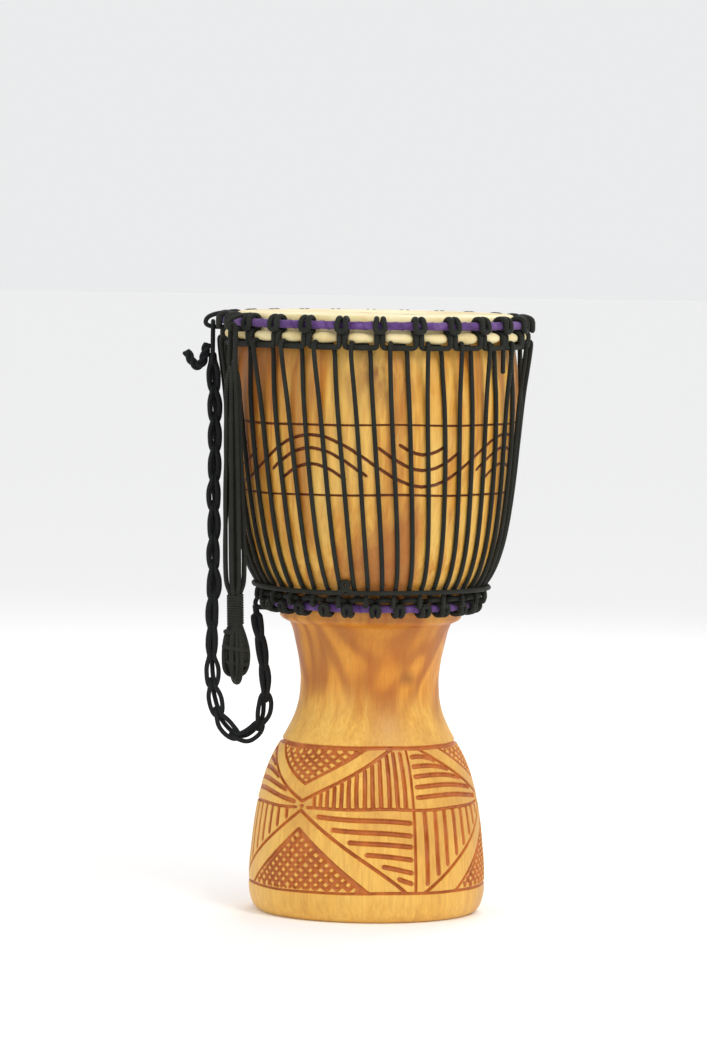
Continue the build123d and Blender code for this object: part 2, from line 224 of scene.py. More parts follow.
def rope_piece(name, body, material, node, path, radius=ROPE_R, sides=12, spacing=1.2, closed=False):
    """One round rope: a smooth line by its control points, or with no spacing the line as it is."""
    if spacing:
        path = bspline(path, spacing, closed)
    tubes = Tubes()
    tubes.add(path, radius, sides, closed)
    return piece(tubes.object(name), body, material, node)


# ---- Materials ------------------------------------------------------------------------------
class Nodes:
    """A short way to wire a node tree."""

    def __init__(self, name):
        self.material = bpy.data.materials.new(name)
        self.material.use_nodes = True
        self.tree = self.material.node_tree
        self.tree.nodes.clear()
        self.out = self.tree.nodes.new("ShaderNodeOutputMaterial")
        self.shader = self.tree.nodes.new("ShaderNodeBsdfPrincipled")
        self.link(self.shader.outputs[0], self.out.inputs[0])

    def link(self, a, b):
        self.tree.links.new(a, b)

    def put(self, socket, value):
        if isinstance(value, bpy.types.NodeSocket):
            self.link(value, socket)
        else:
            socket.default_value = value

    def node(self, kind, inputs=(), **settings):
        made = self.tree.nodes.new("ShaderNode" + kind)
        for k, v in settings.items():
            setattr(made, k, v)
        for k, v in dict(inputs).items():
            self.put(made.inputs[k], v)
        return made

    def coordinates(self, scale=(1, 1, 1), rotation=(0, 0, 0)):
        c = self.node("TexCoord")
        return self.node("Mapping", {"Vector": c.outputs["Object"], "Scale": scale,
                                     "Rotation": rotation}).outputs[0]

    def noise(self, vector, scale, detail=4.0, rough=0.55, distortion=0.0):
        return self.node("TexNoise", {"Vector": vector, "Scale": scale, "Detail": detail,
                                      "Roughness": rough, "Distortion": distortion}).outputs[0]

    def math(self, operation, a, b=0.0, c=0.0):
        return self.node("Math", {0: a, 1: b, 2: c}, operation=operation).outputs[0]

    def times(self, a, b):
        return self.math("MULTIPLY", a, b)

    def tint(self, factor, base, *colour):
        return self.mix(factor, base, (*rgb(*colour), 1.0))

    def average(self, a, b):
        return self.math("ADD", self.times(a, 0.5), self.times(b, 0.5))

    def stored(self, name):
        return self.node("Attribute", attribute_name=name).outputs["Fac"]

    def distance(self, place, at):
        return self.node("VectorMath", {0: place, 1: tuple(turned(*at) * MM)},
                         operation="DISTANCE").outputs["Value"]

    def span(self, value, low, high, to_low=0.0, to_high=1.0):
        return self.node("MapRange", {"Value": value, "From Min": low, "From Max": high,
                                      "To Min": to_low, "To Max": to_high}).outputs[0]

    def mix(self, factor, a, b):
        made = self.tree.nodes.new("ShaderNodeMix")
        made.data_type = "RGBA"
        for i, v in ((0, factor), (6, a), (7, b)):
            self.put(made.inputs[i], v)
        return made.outputs[2]

    def ramp(self, value, stops):
        made = self.node("ValToRGB", {"Fac": value})
        ramp = made.color_ramp
        while len(ramp.elements) < len(stops):
            ramp.elements.new(0.5)
        for e, (at, *colour) in zip(ramp.elements, stops):
            e.position, e.color = at, (*rgb(*colour), 1.0)
        return made.outputs[0]

    def bump(self, height, strength, distance):
        return self.node("Bump", {"Height": height, "Strength": strength, "Distance": distance}).outputs[0]

    def finish(self, colour, rough, normal=None, **fixed):
        for k, v in (("Base Color", colour), ("Roughness", rough), ("Normal", normal)):
            if v is not None:
                self.put(self.shader.inputs[k], v)
        for k, v in fixed.items():
            self.shader.inputs[k.replace("_", " ")].default_value = v
        return self.material


def rgb(r, g, b):
    """Linear colour from display values out of 255."""
    return tuple(((v / 255 + 0.055) / 1.055) ** 2.4 if v > 10 else v / 255 / 12.92 for v in (r, g, b))


def wood_material():
    m = Nodes("carved_wood")
    grain = m.coordinates((1.0, 1.0, 0.09))
    broad = m.coordinates((1.0, 1.0, 0.35))
    fine = m.noise(grain, 420.0, 5.0, 0.6)
    streak = m.noise(grain, 95.0, 4.0, 0.55, 0.4)
    cloud = m.noise(broad, 13.0, 4.0, 0.55, 0.6)
    place = m.node("TexCoord").outputs["Object"]
    height = m.node("SeparateXYZ", {0: place}).outputs[2]
    body = m.ramp(streak, [(0.30, 188, 118, 38), (0.45, 214, 154, 58), (0.60, 230, 180, 84),
                           (0.74, 206, 138, 48)])
    patched = m.tint(m.times(m.span(cloud, 0.48, 0.62), 0.8), body, 160, 88, 30)
    pale = m.tint(m.times(m.span(cloud, 0.46, 0.34), 0.55), patched, 238, 200, 108)
    # The stem's wood has a large swirling figure.
    stem = m.times(m.span(height, 0.190, 0.235), m.span(height, 0.335, 0.29))
    swirl = m.noise(m.coordinates((1.0, 1.0, 0.7)), 8.0, 2.0, 0.45, 0.9)
    bands = m.math("SINE", m.times(swirl, 24.0))
    figure = m.ramp(m.math("MULTIPLY_ADD", bands, 0.5, 0.5),
                    [(0.02, 172, 94, 22), (0.3, 208, 132, 34), (0.75, 224, 152, 50), (1.0, 212, 138, 40)])
    mixed = m.mix(m.times(stem, 0.85), pale, figure)
    footed = m.tint(m.times(m.span(height, 0.225, 0.180), 0.6), mixed, 234, 184, 88)
    grained = m.tint(m.times(m.span(fine, 0.40, 0.66), 0.22), footed, 150, 86, 34)
    ragged = m.math("MULTIPLY_ADD", m.noise(broad, 55.0, 3.0, 0.6), 0.016,
                    m.math("SUBTRACT", m.distance(place, KNOT_AT), 0.008))
    knotted = m.tint(m.times(m.span(ragged, 0.011, 0.001), 0.75), grained, 122, 66, 28)
    stain = m.times(m.span(m.distance(place, STAIN_AT), 0.048, 0.006),
                    m.span(m.noise(broad, 36.0, 4.0, 0.65), 0.42, 0.60))
    stained = m.tint(m.times(stain, 0.8), knotted, 124, 62, 30)
    # The cuts are darker than the surface, most of all along their deepest lines: partly the stain of the cut
    # wood, partly painted shade in the grooves. The bowl's are burnt darker still.
    stained_and_shaded_cut_tone = m.ramp(m.noise(broad, 60.0, 3.0, 0.6), [(0.35, 168, 88, 32), (0.65, 196, 112, 46)])
    floor = m.tint(m.stored("burn"), stained_and_shaded_cut_tone, 108, 54, 24)
    cut_stain_and_shade = m.math("ADD", m.stored("cut"), m.times(m.math("SUBTRACT", fine, 0.5), 0.3))
    colour = m.mix(m.span(cut_stain_and_shade, 0.03, 0.42), stained, floor)
    return m.finish(colour, m.span(streak, 0.3, 0.8, 0.40, 0.58), m.bump(m.average(fine, streak), 0.35, 0.0004),
                    Specular_IOR_Level=0.4)


def rope_material(name, dark, light):
    """Braided cord: diamonds from the length and turn kept in the rope's UV layer."""
    strands, lay = 4.0, 5.2
    m = Nodes(name)
    uv = m.node("SeparateXYZ", {0: m.node("UVMap", uv_map="rope").outputs[0]})
    along = m.times(uv.outputs[0], 2 * math.pi / lay)
    turn = m.times(uv.outputs[1], 2 * math.pi * strands)
    crossed = m.times(m.math("SINE", m.math("ADD", along, turn)),
                      m.math("SINE", m.math("SUBTRACT", along, turn)))
    weave = m.math("MULTIPLY_ADD", crossed, 0.5, 0.5)
    place = m.coordinates()
    fuzz = m.noise(place, 1500.0, 3.0, 0.6)
    patch = m.noise(place, 45.0, 3.0, 0.6)
    mixed = m.tint(m.span(patch, 0.35, 0.75), (*rgb(*dark), 1.0), *light)
    lit = m.tint(m.times(weave, 0.55), mixed, *(v + 18 for v in light))
    colour = m.tint(m.times(m.span(fuzz, 0.4, 0.8), 0.35), lit, *light)
    relief = m.math("ADD", m.times(weave, 0.8), m.times(fuzz, 0.35))
    return m.finish(colour, m.span(fuzz, 0.3, 0.7, 0.62, 0.85), m.bump(relief, 0.7, 0.0005),
                    Sheen_Weight=0.04, Sheen_Roughness=0.4, Specular_IOR_Level=0.2)


def cloth_material():
    m = Nodes("ring_cloth")
    place = m.coordinates()
    weave = m.node("TexWave", {"Vector": place, "Scale": 900.0, "Distortion": 1.5, "Detail": 1.0}).outputs[1]
    thread = m.noise(place, 900.0, 2.0, 0.6)
    patch = m.noise(place, 70.0, 4.0, 0.6)
    base = m.ramp(patch, [(0.32, 70, 40, 96), (0.5, 92, 60, 122), (0.68, 118, 88, 146)])
    # Painted shade: darker purple just under the edge where each turn overlaps the last.
    folded = m.tint(m.times(m.stored("fold"), 0.6), base, 46, 26, 64)
    faded = m.tint(m.times(m.span(thread, 0.45, 0.8), 0.3), folded, 150, 126, 170)
    relief = m.math("ADD", m.times(weave, 0.5), thread)
    return m.finish(faded, m.span(thread, 0.3, 0.7, 0.8, 0.95), m.bump(relief, 0.5, 0.0003),
                    Sheen_Weight=0.1, Sheen_Roughness=0.5, Specular_IOR_Level=0.2)


def skin_material():
    m = Nodes("goatskin")
    place = m.coordinates()
    blotch = m.noise(place, 16.0, 5.0, 0.6, 0.5)
    pores = m.noise(place, 700.0, 3.0, 0.6)
    vein = m.noise(m.coordinates((1.0, 0.35, 1.0)), 60.0, 4.0, 0.65, 1.2)
    base = m.ramp(blotch, [(0.34, 196, 172, 114), (0.48, 222, 204, 150), (0.64, 234, 220, 174)])
    veined = m.tint(m.times(m.span(vein, 0.55, 0.72), 0.35), base, 206, 172, 108)
    # Painted shade: the roll of skin turns dark brown where it thins between the lumps, under the hitches.
    crease_shaded = m.tint(m.times(m.stored("roll"), 0.9), veined, 92, 62, 34)
    return m.finish(crease_shaded, m.span(vein, 0.3, 0.7, 0.48, 0.64), m.bump(m.average(pores, vein), 0.3, 0.0003),
                    Subsurface_Weight=0.12, Subsurface_Scale=0.004, Specular_IOR_Level=0.4)


def metal_material():
    m = Nodes("steel_rod")
    place = m.coordinates()
    mill = m.noise(place, 300.0, 4.0, 0.6)
    rust = m.noise(place, 60.0, 4.0, 0.6)
    base = m.ramp(rust, [(0.4, 150, 150, 152), (0.6, 120, 116, 112), (0.72, 120, 84, 60)])
    return m.finish(base, m.span(mill, 0.3, 0.7, 0.35, 0.55), m.bump(mill, 0.3, 0.0002), Metallic=0.9)


WOOD = wood_material()
CORD = rope_material("tension_cord", (15, 17, 14), (33, 35, 29))
BLACK_CORD = rope_material("strap_cord", (11, 12, 13), (24, 26, 28))
CLOTH = cloth_material()
SKIN = skin_material()
STEEL = metal_material()
for node_name in ("flesh_ring", "crown_ring", "base_ring"):
    for material_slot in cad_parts[node_name].material_slots:
        material_slot.material = STEEL


# ---- Cords: the strap's chain and the hank's rope --------------------------------------------
def nurbs_line(name, points_mm):
    """The smooth line that a cord follows: a NURBS spline on its route's points, read as points."""
    curve = bpy.data.curves.new(name, "CURVE")
    curve.dimensions = "3D"
    curve.resolution_u = 24
    spline = curve.splines.new("NURBS")
    spline.points.add(len(points_mm) - 1)
    for slot_point, p in zip(spline.points, points_mm):
        slot_point.co = (*(Vector(p) * MM), 1.0)
    spline.order_u = 3
    spline.use_endpoint_u = True
    holder = bpy.data.objects.new(name, curve)
    me = bpy.data.meshes.new_from_object(holder)
    points = [v.co.copy() for v in me.vertices]
    bpy.data.meshes.remove(me)
    bpy.data.objects.remove(holder)
    bpy.data.curves.remove(curve)
    return points


def evenly(points, step):
    """The same line in millimetres with its points at an even distance, and its length."""
    p = np.array([tuple(v / MM) for v in points])
    along = distances(p)
    count = max(2, int(round(along[-1] / step)) + 1)
    want = np.linspace(0, along[-1], count)
    return np.stack([np.interp(want, along, p[:, i]) for i in range(3)], 1), along[-1]


STRAP_ROUTE = [(162.0, 556.0), (160.4, 530.0), (158.8, 498.0), (158.3, 455.0), (158.9, 408.0),
               (158.2, 360.0), (158.0, 310.0), (158.8, 264.0), (158.8, 230.0), (154.2, 200.0),
               (142.4, 178.0), (125.0, 169.5), (110.4, 180.5), (104.0, 205.0), (104.6, 234.0),
               (109.6, 266.0), (114.4, 297.0)]
CHAIN_PITCH = 30.0
OUTER_SIDE_R = 132.0           # the strap's bend lies between its outer and its inner side


def build_strap():
    """Carrying strap: one rope worked into a long-linked chain, open and loose round the lower bend."""
    draw = random.Random(11)
    line = nurbs_line("strap_line", [turned(STRAP_ANGLE, r, z) for r, z in STRAP_ROUTE])
    p, length = evenly(line, 1.0)
    across = np.array(turned(STRAP_ANGLE + 90, 1.0, 0.0))       # out of the bend's plane
    beside = np.cross(unit(np.gradient(p, axis=0)), across)

    def place(s, v, w):
        s = min(max(s, 0.0), length - 1e-6)
        k, f = divmod(s / length * (len(p) - 1), 1.0)
        k = int(k)
        k2 = min(k + 1, len(p) - 1)
        at = p[k] * (1 - f) + p[k2] * f
        side = beside[k] * (1 - f) + beside[k2] * f
        return Vector(at + side * v + across * w)

    links = int(round(length / CHAIN_PITCH))
    step = length / links
    path = [place(0.0, 0.0, -3.0)]
    for n in range(links):
        middle = place((n + 0.6) * step, 0.0, 0.0)
        outer = math.hypot(middle.x, middle.y) > OUTER_SIDE_R
        loose = middle.z < (256.0 if outer else 226.0)
        tight = middle.z < 326.0 and not loose
        half = (6.3 if loose else 3.2 if tight else 4.6) + draw.uniform(-0.4, 0.4)
        lean = draw.uniform(-0.9, 0.9)
        front, neck = (2.8, 2.2) if loose else (2.2, 1.5)
        reach = 1.30 if n < links - 1 else 1.0
        base = n * step
        stitch = [(-0.10, -1.0, -3.9), (0.05, -neck, -0.8), (0.22, -neck, front),
                  (0.55, -half + lean, 1.6), (0.92, -half + lean, 0.4), (reach - 0.10, -half * 0.7, 0.0),
                  (reach, 0.0, -0.2), (reach - 0.10, half * 0.7, 0.0), (0.92, half + lean, 0.4),
                  (0.55, half + lean, 1.6), (0.22, neck, front), (0.05, neck, -0.8),
                  (-0.02, 1.0, -3.9), (0.45, 0.3 + lean, -4.4)]
        path += [place(base + u * step, v, w) for u, v, w in stitch]
    path = bspline(path + [place(length, 0.0, -2.0)], 1.5)
    # Pulled tight, the links are fat and closed; round the lower bend they are drawn out thin.
    out = np.array([math.hypot(q.x, q.y) for q in path])
    high = np.array([q.z for q in path])
    full = np.clip((high - np.where(out > OUTER_SIDE_R, 252.0, 222.0)) / 12.0, 0, 1)
    slack = np.clip((high - 322.0) / 12.0, 0, 1)
    chain = rope_piece("strap_chain", STRAP, BLACK_CORD, "carry_strap", path,
                       2.35 + 0.85 * full - 0.45 * slack, 10, None)


HANK_TOP_Z, HANK_HANGS = 552.0, 322.5
HANK_TOP = turned(HANK_ANGLE, HANK_R, HANK_TOP_Z)
HANK_SIDE_LEAN = 8.0           # its foot hangs this far to the right of its top


def hank_at(around, out, z):
    """A point of the hank: an angle round its own leaning axis, a distance from it and a height."""
    a = math.radians(around)
    lean = Vector((HANK_SIDE_LEAN * (HANK_TOP_Z - z) / HANK_HANGS, 0.0, z - HANK_TOP_Z))
    return (HANK_TOP + lean + turned(HANK_ANGLE + 90, out * math.cos(a), 0.0)
            + turned(HANK_ANGLE, out * math.sin(a), 0.0))


def build_hank():
    """Spare tail of the tension rope: long loops bound at a neck, then short loops and a few turns."""
    draw = random.Random(5)
    long_loops, short_loops = 4, 5
    route = [hank_at(0, 2.0, 552.0)]

    def uneven(points):
        return [(r + (draw.uniform(-0.8, 0.6) if z < 290 else 0.0), z) for r, z in points]

    for loop in range(long_loops):
        a = loop * 180.0 / long_loops + draw.uniform(-12, 12)
        sway = [draw.uniform(-1.4, 1.4) for _ in range(6)]
        deep = 233.0 + 3.6 * loop
        low_end = [(9.0, 334), (6.4, 327), (4.0, 320), (3.8, 307), (4.0, 294), (9.0, 283), (12.2, 266),
                   (12.0, 249), (7.0, deep + 2)]

        def strand(first, second, third):
            return [(4.0, 546), (6.6 + first, 520), (7.6 + second, 470), (8.0 + third, 425),
                    (9.2, 385), (9.6, 355)] + low_end
        route += [hank_at(a + sway[3] * 4, out, z) for out, z in uneven(strand(*sway[:3]))]
        up = strand(sway[0], sway[5], sway[4])[::-1]
        route += [hank_at(a + 180 + sway[4] * 4, out, z) for out, z in uneven(up)]
    # The rope comes down once more through the neck and makes the short loops of the lower bulb.
    route += [hank_at(22.0, 3.0, z) for z in (520, 470, 415, 365, 334, 320, 305)]
    for loop in range(short_loops):
        a = 22.0 + loop * 180.0 / short_loops + draw.uniform(-6, 6)
        deep = 236.0 + 3.4 * loop
        out = 11.6 - loop * 0.7
        down = [(3.2, 304), (3.6, 296), (out - 2.6, 282), (out, 266),
                (out - 0.4, deep + 14), (out * 0.55, deep)]
        route += [hank_at(a, r, z) for r, z in uneven(down)]
        route += [hank_at(a + 180 + draw.uniform(-8, 8), r, z) for r, z in reversed(uneven(down))]
    # Two slanting turns round the bulb end it.
    turns, low, high = 2.6, 246.0, 284.0
    for k in range(int(turns * 8) + 1):
        share = k / (turns * 8)
        z = high - (high - low) * share + 5.0 * math.sin(k * math.pi / 4)
        bulge = 12.6 - 3.6 * abs(2 * share - 0.9) ** 2
        route.append(hank_at(40.0 + 45.0 * k, bulge, z))
    line = nurbs_line("hank_line", route)
    p, length = evenly(line, 1.8)
    rope = rope_piece("hank_rope", HANK, CORD, "rope_hank", [Vector(q) for q in p], ROPE_R, 10, None)


build_strap()
build_hank()


# ---- Shell ----------------------------------------------------------------------------------
OUTSIDE = [(107.0, 0.0), (111.5, 3.0), (115.6, 10.0), (118.3, 24.0), (118.3, 40.0), (116.6, 64.0),
           (112.6, 98.0), (104.4, 135.0), (96.2, 156.0), (85.0, 176.0), (78.2, 189.0), (73.4, 201.0),
           (70.2, 216.0), (69.3, 232.0), (71.0, 250.0), (74.6, 268.0), (78.4, 284.0), (81.0, 290.0),
           (88.5, 293.5), (91.0, 297.0), (91.1, 301.0), (92.2, 303.5), (92.4, 318.5), (99.0, 323.0),
           (108.4, 328.6), (115.6, 337.5), (122.2, 351.0), (127.0, 364.0), (132.2, 389.0),
           (136.0, 414.0), (139.1, 440.0), (141.6, 466.0), (143.6, 493.0), (144.5, 519.0),
           (143.6, 542.0), (140.9, 562.0), (138.4, 577.0), (138.4, 594.0)]
INSIDE = [(96.0, 0.0), (97.4, 12.0), (96.4, 60.0), (93.0, 98.0), (86.0, 131.0), (74.0, 158.0),
          (61.0, 184.0), (53.0, 212.0), (50.5, 236.0), (51.0, 262.0), (54.0, 288.0), (64.0, 307.0),
          (88.0, 331.0), (108.0, 361.0), (120.6, 400.0), (127.4, 440.0), (130.2, 493.0),
          (129.6, 540.0), (129.0, 590.0)]


def smooth_radius(points):
    """Radius as a smooth function of height that never overshoots its points."""
    r = np.array([a for a, _ in points])
    z = np.array([b for _, b in points])
    h, d = np.diff(z), np.diff(r) / np.diff(z)
    m = np.zeros(len(z))
    m[0], m[-1] = d[0], d[-1]
    for i in range(1, len(z) - 1):
        if d[i - 1] * d[i] > 0:
            w1, w2 = 2 * h[i] + h[i - 1], h[i] + 2 * h[i - 1]
            m[i] = (w1 + w2) / (w1 / d[i - 1] + w2 / d[i])

    def radius(q):
        q = np.asarray(q, float)
        k = np.clip(np.searchsorted(z, q) - 1, 0, len(h) - 1)
        t = np.clip((q - z[k]) / h[k], 0, 1)
        return ((1 + 2 * t) * (1 - t) ** 2 * r[k] + t * (1 - t) ** 2 * h[k] * m[k]
                + t * t * (3 - 2 * t) * r[k + 1] + t * t * (t - 1) * h[k] * m[k + 1])
    return radius


outer_radius = smooth_radius(OUTSIDE)
inner_radius = smooth_radius(INSIDE)
AROUND = 240                   # steps round the shell where it is plain


class Cut:
    """One gouge cut: a line in (distance round, height) with a half width and a depth at each point."""

    STEP, RUN_IN = 4.0, 2.6

    def __init__(self, points, half_width, depth, ends=(True, True), floor=0.4):
        sparse = np.array(points, float)
        along = distances(sparse)
        total = along[-1]
        run_in = min(self.RUN_IN, total / 3)
        places = np.linspace(0, total, max(2, int(math.ceil(total / self.STEP))) + 1)
        places = np.unique(np.round([*places, *[run_in] * ends[0], *[total - run_in] * ends[1]], 6))
        rise = np.ones(len(places))
        for end, travelled in zip(ends, (places, total - places)):
            if end:
                rise = np.minimum(rise, travelled / run_in)
        rise = np.clip(rise, 0, 1)
        self.points = np.stack([np.interp(places, along, sparse[:, i]) for i in range(2)], 1)
        self.width = half_width * (0.55 + 0.45 * rise)
        self.depth = depth * (0.05 + 0.95 * rise)
        self.floor = floor                    # the flat floor's share of the width

    def moved(self, dx):
        twin = Cut.__new__(Cut)
        twin.points = self.points + np.array([dx, 0.0])
        twin.width, twin.depth, twin.floor = self.width, self.depth, self.floor
        return twin

    def outline(self):
        """The spine, the two edges and the floor's two sides."""
        t = unit(np.gradient(self.points, axis=0))
        n = np.stack([-t[:, 1], t[:, 0]], 1) * self.width[:, None]
        return [self.points + n * share for share in (0, 1, -1, self.floor, -self.floor)]

    def depth_at(self, q):
        """The cut's depth at each of some points, 0 outside it."""
        reach = self.width.max()
        low, high = self.points.min(0) - reach, self.points.max(0) + reach
        near = np.nonzero(((q > low) & (q < high)).all(1))[0]
        found = np.zeros(len(q))
        q = q[near]
        for a, b, w0, w1, d0, d1 in zip(self.points, self.points[1:], self.width, self.width[1:],
                                        self.depth, self.depth[1:]):
            d = b - a
            t = np.clip(((q - a) @ d) / (d @ d), 0, 1)
            away = np.linalg.norm(q - (a + t[:, None] * d), axis=1)
            side = np.clip((1 - away / (w0 + (w1 - w0) * t)) / (1 - self.floor), 0, 1)
            found[near] = np.maximum(found[near], (d0 + (d1 - d0) * t) * side)
        return found


def tapered(a, b, half_width, depth, bow=0.0, ends=(True, True), floor=0.4):
    """A straight cut between two points, bowed a little."""
    a, b = np.array(a, float), np.array(b, float)
    d = b - a
    side = np.array([-d[1], d[0]]) / np.linalg.norm(d)
    places = np.linspace(0, 1, 9)
    return Cut([a + d * s + side * bow * 4 * s * (1 - s) for s in places], half_width, depth, ends, floor)


def clipped(p, direction, corners):
    """The part of a line that lies in a convex outline given anticlockwise, or None."""
    low, high = -1e9, 1e9
    for a, b in zip(corners, corners[1:] + corners[:1]):
        inward = np.array([-(b[1] - a[1]), b[0] - a[0]])
        inward = inward / np.linalg.norm(inward)
        gap, rate = inward @ (p - np.array(a)), inward @ direction
        if abs(rate) < 1e-9:
            if gap < 0:
                return None
        elif rate > 0:
            low = max(low, -gap / rate)
        else:
            high = min(high, -gap / rate)
    return (p + direction * low, p + direction * high) if high - low >= 2.0 else None


def hatched(corners, slopes, pitch, half_width, depth, draw):
    """Crossed cuts over a triangle, which leave rows of small raised diamonds."""
    cuts = []
    middle = np.mean(np.array(corners, float), axis=0)
    for slope in slopes:
        direction = np.array([math.cos(math.radians(slope)), math.sin(math.radians(slope))])
        step = np.array([-direction[1], direction[0]])
        for k in range(-24, 25):
            start = middle + step * (k * pitch + draw.uniform(-0.35, 0.35))
            found = clipped(start, direction, corners)
            if found:
                cuts.append(tapered(found[0], found[1], half_width + draw.uniform(-0.2, 0.2),
                                    depth + draw.uniform(-0.2, 0.25), draw.uniform(-0.3, 0.3), floor=0.25))
    return cuts


def carved_band(z0, z1, sectors, centre, mm_per_degree, cuts, spacing, seed):
    """A band of the shell's outside, triangulated along its cuts, as verts, faces and depth."""
    draw = random.Random(seed)
    sector = 360.0 / sectors
    half = sector / 2 * mm_per_degree
    steps, rows = AROUND // sectors, int((z1 - z0) / spacing)
    verts, edges = [], []

    def add(x, y):
        verts.append(Vector((x, y)))
        return len(verts) - 1

    rim = [add(-half + 2 * half * i / steps, z0) for i in range(steps + 1)]
    rim += [add(half, z0 + (z1 - z0) * i / rows) for i in range(1, rows)]
    rim += [add(half - 2 * half * i / steps, z1) for i in range(steps + 1)]
    rim += [add(-half, z1 - (z1 - z0) * i / rows) for i in range(1, rows)]
    # The cuts of the sectors on both sides may reach into this one.
    every = []
    for cut in cuts:
        for dx in (-2 * half, 0.0, 2 * half):
            x = cut.points[:, 0] + dx
            if x.max() > -half - 8 and x.min() < half + 8:
                every.append(cut.moved(dx) if dx else cut)
    for cut in every:
        for line in cut.outline():
            ids = [add(x, y) for x, y in line]
            edges += list(zip(ids, ids[1:]))
    row, y = 0, z0 + spacing * 0.8
    while y < z1 - spacing * 0.5:
        x = -half + spacing * (0.8 if row % 2 else 0.4)
        while x < half - spacing * 0.3:
            add(x + draw.uniform(-0.2, 0.2) * spacing, y + draw.uniform(-0.2, 0.2) * spacing)
            x += spacing
        y += spacing * 0.87
        row += 1
    flat, _, tris = delaunay_2d_cdt(verts, edges, [rim], 1, 1e-4, False)[:3]
    q = np.array([(v.x, v.y) for v in flat])
    for side in (half, -half):
        q[:, 0] = np.where(np.abs(q[:, 0] - side) < 1e-3, side, q[:, 0])
    # Cuts that run past the sector's sides also make faces out there: only its own are kept.
    tris = np.array(tris)
    tris = tris[np.abs(q[tris, 0].mean(1)) < half]
    used, tris = np.unique(tris, return_inverse=True)
    q, tris = q[used], tris.reshape(-1, 3)
    deep = np.max([cut.depth_at(q) for cut in every], axis=0)
    inside = np.clip((q[:, 1] - z0) / 10, 0, 1) * np.clip((z1 - q[:, 1]) / 10, 0, 1)
    all_verts, all_faces, all_deep = [], [], []
    for copy in range(sectors):
        angle = centre + copy * sector + q[:, 0] / mm_per_degree
        da, dz = wandering(angle)
        a = np.radians(angle + da * inside)
        z = q[:, 1] + dz * inside
        rough = (1 + 0.13 * np.sin(np.radians(angle) * 97 + z * 0.21)
                 + 0.09 * np.sin(np.radians(angle) * 36 - z * 0.37))
        d = deep * rough
        slope = outer_radius(z + 0.5) - outer_radius(z - 0.5)
        norm = np.sqrt(1 + slope ** 2)
        all_verts.append(ring_points(a, outer_radius(z) - d / norm, z + d * slope / norm))
        all_faces.append(tris + copy * len(q))
        all_deep.append(d)
    return np.concatenate(all_verts), np.concatenate(all_faces), np.concatenate(all_deep)


def ring_points(a, r, z):
    """Points at some angles from the front, given in radians."""
    return np.stack([r * np.sin(a), -r * np.cos(a), z + 0 * a], 1)


def wandering(angle):
    """Small shifts of the carving, so that no two parts of it are alike."""
    a = np.radians(angle)
    return (0.7 * np.sin(2 * a + 0.6) + 0.45 * np.sin(5 * a + 2.0),
            1.0 * np.sin(a + 0.4) + 0.8 * np.sin(4 * a + 1.1) + 0.4 * np.sin(9 * a))


FOOT_MM = 1.92                 # millimetres of the foot's surface to a degree
FOOT_LOW, FOOT_HIGH, FOOT_MID = 30.0, 171.0, 112.0
CROSS_AT = -36.0
FOOT_BAND, BOWL_BAND = (24.0, 176.0), (416.0, 500.0)
WAVE_AT = -25.5                # a crest's angle
RIM_Z, RIM_ROUND = 598.55, 4.5


